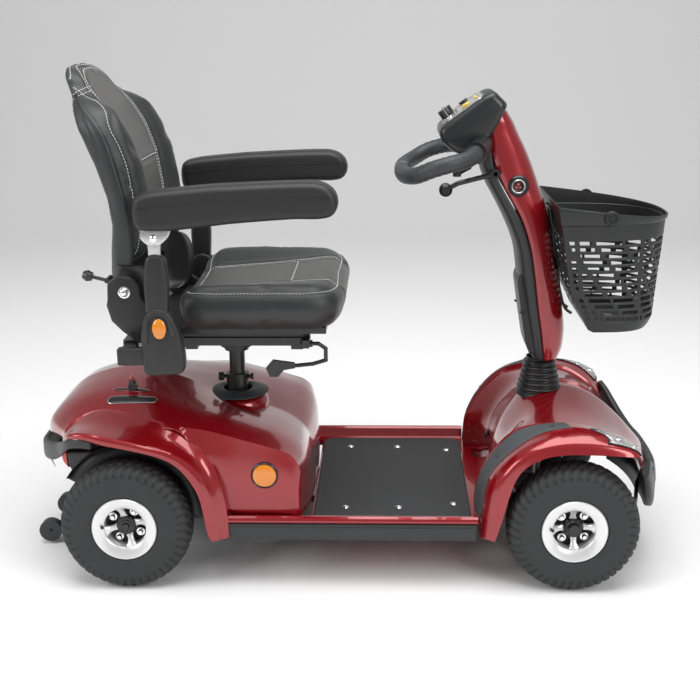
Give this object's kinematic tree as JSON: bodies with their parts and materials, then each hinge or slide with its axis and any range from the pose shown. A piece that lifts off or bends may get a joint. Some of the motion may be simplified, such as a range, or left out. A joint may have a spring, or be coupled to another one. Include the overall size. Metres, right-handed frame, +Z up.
{
  "type": "mobility scooter",
  "caption": "Four-wheel electric mobility scooter with a swivelling padded armchair seat, a tilting steering tiller, moulded cowls, a flat footboard and a front basket.",
  "frame": {"origin": "on the ground, under the middle of the scooter's length and width", "axes": "+X forward, +Y to the rider's left, +Z up"},
  "size_m": [1.315, 0.586, 1.006],
  "materials": {
    "frame_black": "satin powder coat",
    "body_red": "metallic candy red lacquer",
    "mat_rubber": "fine pimpled rubber sheet",
    "screw_steel": "polished dome",
    "trim_plastic": "fine moulded grain",
    "lamp_clear": "clear moulded lens",
    "lamp_red": "moulded prism lens",
    "lamp_amber": "moulded prism lens",
    "battery_case": "moulded case",
    "cast_grey": "sand cast",
    "motor_black": "semi gloss",
    "gloss_black": "moulded, semi gloss",
    "grip_rubber": "soft grained",
    "gaiter_rubber": "ribbed",
    "shaft_steel": "turned",
    "cast_black": "painted casting",
    "roller_rubber": "solid tyre",
    "panel_silver": "silver film",
    "basket_plastic": "moulded grain",
    "button_yellow": "moulded",
    "post_black": "polished black plating",
    "seat_vinyl": "grained leatherette with white twin stitching",
    "shell_black": "smooth moulded shell",
    "arm_foam": "skinned foam, grained",
    "tyre": "block tread",
    "rim_silver": "silver lacquer"
  },
  "bodies": {
    "chassis": {"chassis_frame": "frame_black", "rear_cowl": "body_red", "front_cowl": "body_red", "floor_tray": "body_red", "floor_mat": "mat_rubber", "floor_screws": "screw_steel", "side_skirts": "trim_plastic", "front_bumper": "trim_plastic", "rear_bumper": "trim_plastic", "headlamps": "lamp_clear", "tail_lamps": "lamp_red", "side_markers": "lamp_amber", "batteries": "battery_case", "transaxle": "cast_grey", "drive_motor": "motor_black", "controller": "cast_grey", "seat_post_tube": "frame_black", "post_dish": "gloss_black", "grip_pads": "grip_rubber", "gaiter": "gaiter_rubber"},
    "steering": {"steering_shaft": "shaft_steel"},
    "track_rod": {"track_rod": "shaft_steel"},
    "left_knuckle": {"left_knuckle": "cast_black"},
    "right_knuckle": {"right_knuckle": "cast_black"},
    "front_left_wheel": {"front_left_tyre": "tyre", "front_left_rim": "rim_silver"},
    "front_right_wheel": {"front_right_tyre": "tyre", "front_right_rim": "rim_silver"},
    "rear_left_wheel": {"rear_left_tyre": "tyre", "rear_left_rim": "rim_silver"},
    "rear_right_wheel": {"rear_right_tyre": "tyre", "rear_right_rim": "rim_silver"},
    "anti_tip_rollers": {"anti_tip_rollers": "roller_rubber"},
    "tiller": {"tiller_mast": "frame_black", "tiller_front_cover": "body_red", "tiller_rear_cover": "trim_plastic", "console_housing": "trim_plastic", "console_panel": "panel_silver", "handlebar": "grip_rubber", "basket_bracket": "frame_black"},
    "basket": {"basket": "basket_plastic"},
    "tilt_lever": {"tilt_lever": "gloss_black"},
    "throttle_lever": {"throttle_lever": "gloss_black"},
    "speed_knob": {"speed_knob": "gloss_black"},
    "ignition_key": {"ignition_key": "shaft_steel"},
    "horn_button": {"horn_button": "button_yellow"},
    "lamp_button": {"lamp_button": "gloss_black"},
    "freewheel_lever": {"freewheel_lever": "gloss_black"},
    "seat_post": {"seat_post_inner": "post_black"},
    "seat_swivel": {"swivel_frame": "frame_black"},
    "seat": {"seat_frame": "frame_black", "seat_cushion": "seat_vinyl"},
    "backrest": {"backrest_pad": "seat_vinyl", "backrest_shell": "shell_black"},
    "recline_lever": {"recline_lever": "gloss_black"},
    "seat_lever": {"seat_lever": "gloss_black"},
    "left_arm_slide": {"left_arm_upright": "trim_plastic"},
    "right_arm_slide": {"right_arm_upright": "trim_plastic"},
    "left_armrest": {"left_arm_pad": "arm_foam"},
    "right_armrest": {"right_arm_pad": "arm_foam"}
  },
  "joints": [
    {"name": "steer", "type": "hinge", "parent": "chassis", "child": "steering", "pos_m": [0.4105, 0, 0.368], "axis": [0, 0, 1], "range_deg": [-35, 35]},
    {"name": "left_knuckle_turn", "type": "hinge", "parent": "chassis", "child": "left_knuckle", "pos_m": [0.4525, 0.19, 0.13], "axis": [0, 0, 1], "range_deg": [-36, 36]},
    {"name": "right_knuckle_turn", "type": "hinge", "parent": "chassis", "child": "right_knuckle", "pos_m": [0.4525, -0.19, 0.13], "axis": [0, 0, 1], "range_deg": [-36, 36]},
    {"name": "track_rod_turn", "type": "hinge", "parent": "steering", "child": "track_rod", "pos_m": [0.3505, 0, 0.132], "axis": [0, 0, 1], "range_deg": [-36, 36]},
    {"name": "front_left_spin", "type": "hinge", "parent": "left_knuckle", "child": "front_left_wheel", "pos_m": [0.4525, 0.25, 0.13], "axis": [0, 1, 0], "continuous": true},
    {"name": "front_right_spin", "type": "hinge", "parent": "right_knuckle", "child": "front_right_wheel", "pos_m": [0.4525, -0.25, 0.13], "axis": [0, 1, 0], "continuous": true},
    {"name": "rear_left_spin", "type": "hinge", "parent": "chassis", "child": "rear_left_wheel", "pos_m": [-0.4225, 0.25, 0.13], "axis": [0, 1, 0], "continuous": true},
    {"name": "rear_right_spin", "type": "hinge", "parent": "chassis", "child": "rear_right_wheel", "pos_m": [-0.4225, -0.25, 0.13], "axis": [0, 1, 0], "continuous": true},
    {"name": "roller_spin", "type": "hinge", "parent": "chassis", "child": "anti_tip_rollers", "pos_m": [-0.6335, 0, 0.03], "axis": [0, 1, 0], "continuous": true},
    {"name": "tiller_tilt", "type": "hinge", "parent": "steering", "child": "tiller", "pos_m": [0.4105, 0, 0.368], "axis": [0, -1, 0], "range_deg": [-10, 8]},
    {"name": "basket_lift", "type": "slide", "parent": "tiller", "child": "basket", "axis": [-0.178, 0, 0.984], "range_m": [0, 0.12]},
    {"name": "tilt_lever_pull", "type": "hinge", "parent": "tiller", "child": "tilt_lever", "pos_m": [0.3005, -0.074, 0.792], "axis": [0, 1, 0], "range_deg": [0, 14], "stiffness_Nm_per_rad": 0.6},
    {"name": "throttle_turn", "type": "hinge", "parent": "tiller", "child": "throttle_lever", "pos_m": [0.2455, 0, 0.812], "axis": [0, 0, 1], "range_deg": [-14, 14], "stiffness_Nm_per_rad": 0.8},
    {"name": "speed_knob_turn", "type": "hinge", "parent": "tiller", "child": "speed_knob", "pos_m": [0.21299, 0, 0.89501], "axis": [-0.5838, 0, 0.8119], "range_deg": [-135, 135]},
    {"name": "key_turn", "type": "hinge", "parent": "tiller", "child": "ignition_key", "pos_m": [0.21299, -0.046, 0.89501], "axis": [-0.5838, 0, 0.8119], "range_deg": [0, 90]},
    {"name": "horn_press", "type": "slide", "parent": "tiller", "child": "horn_button", "axis": [0.5838, 0, -0.8119], "range_m": [0, 0.002], "stiffness_N_per_m": 300},
    {"name": "lamp_press", "type": "slide", "parent": "tiller", "child": "lamp_button", "axis": [0.5838, 0, -0.8119], "range_m": [0, 0.002], "stiffness_N_per_m": 300},
    {"name": "freewheel_pull", "type": "hinge", "parent": "chassis", "child": "freewheel_lever", "pos_m": [-0.4305, -0.111, 0.25], "axis": [0, -1, 0], "range_deg": [0, 16]},
    {"name": "seat_height", "type": "slide", "parent": "chassis", "child": "seat_post", "axis": [0, 0, 1], "range_m": [0, 0.06]},
    {"name": "seat_swivel", "type": "hinge", "parent": "seat_post", "child": "seat_swivel", "pos_m": [-0.2275, 0, 0.44], "axis": [0, 0, 1], "range_deg": [-15, 15]},
    {"name": "seat_slide", "type": "slide", "parent": "seat_swivel", "child": "seat", "axis": [1, 0, 0], "range_m": [-0.05, 0.02]},
    {"name": "backrest_fold", "type": "hinge", "parent": "seat", "child": "backrest", "pos_m": [-0.4105, 0, 0.587], "axis": [0, 1, 0], "range_deg": [-18, 58]},
    {"name": "recline_lever_pull", "type": "hinge", "parent": "backrest", "child": "recline_lever", "pos_m": [-0.4425, -0.19, 0.609], "axis": [0, 1, 0], "range_deg": [0, 15], "stiffness_Nm_per_rad": 0.5},
    {"name": "seat_lever_pull", "type": "hinge", "parent": "seat_swivel", "child": "seat_lever", "pos_m": [-0.0815, -0.138, 0.466], "axis": [1, 0, 0], "range_deg": [-12, 0], "stiffness_Nm_per_rad": 1},
    {"name": "left_arm_width", "type": "slide", "parent": "seat", "child": "left_arm_slide", "axis": [0, 1, 0], "range_m": [0, 0.04]},
    {"name": "right_arm_width", "type": "slide", "parent": "seat", "child": "right_arm_slide", "axis": [0, -1, 0], "range_m": [0, 0.04]},
    {"name": "left_arm_flip", "type": "hinge", "parent": "left_arm_slide", "child": "left_armrest", "pos_m": [-0.3365, 0.265, 0.703], "axis": [0, -1, 0], "range_deg": [0, 80]},
    {"name": "right_arm_flip", "type": "hinge", "parent": "right_arm_slide", "child": "right_armrest", "pos_m": [-0.3365, -0.265, 0.703], "axis": [0, -1, 0], "range_deg": [0, 80]}
  ],
  "couplings": [
    {"joint": "left_knuckle_turn", "follows": "steer", "ratio": 1},
    {"joint": "right_knuckle_turn", "follows": "steer", "ratio": 1},
    {"joint": "track_rod_turn", "follows": "steer", "ratio": -1}
  ]
}
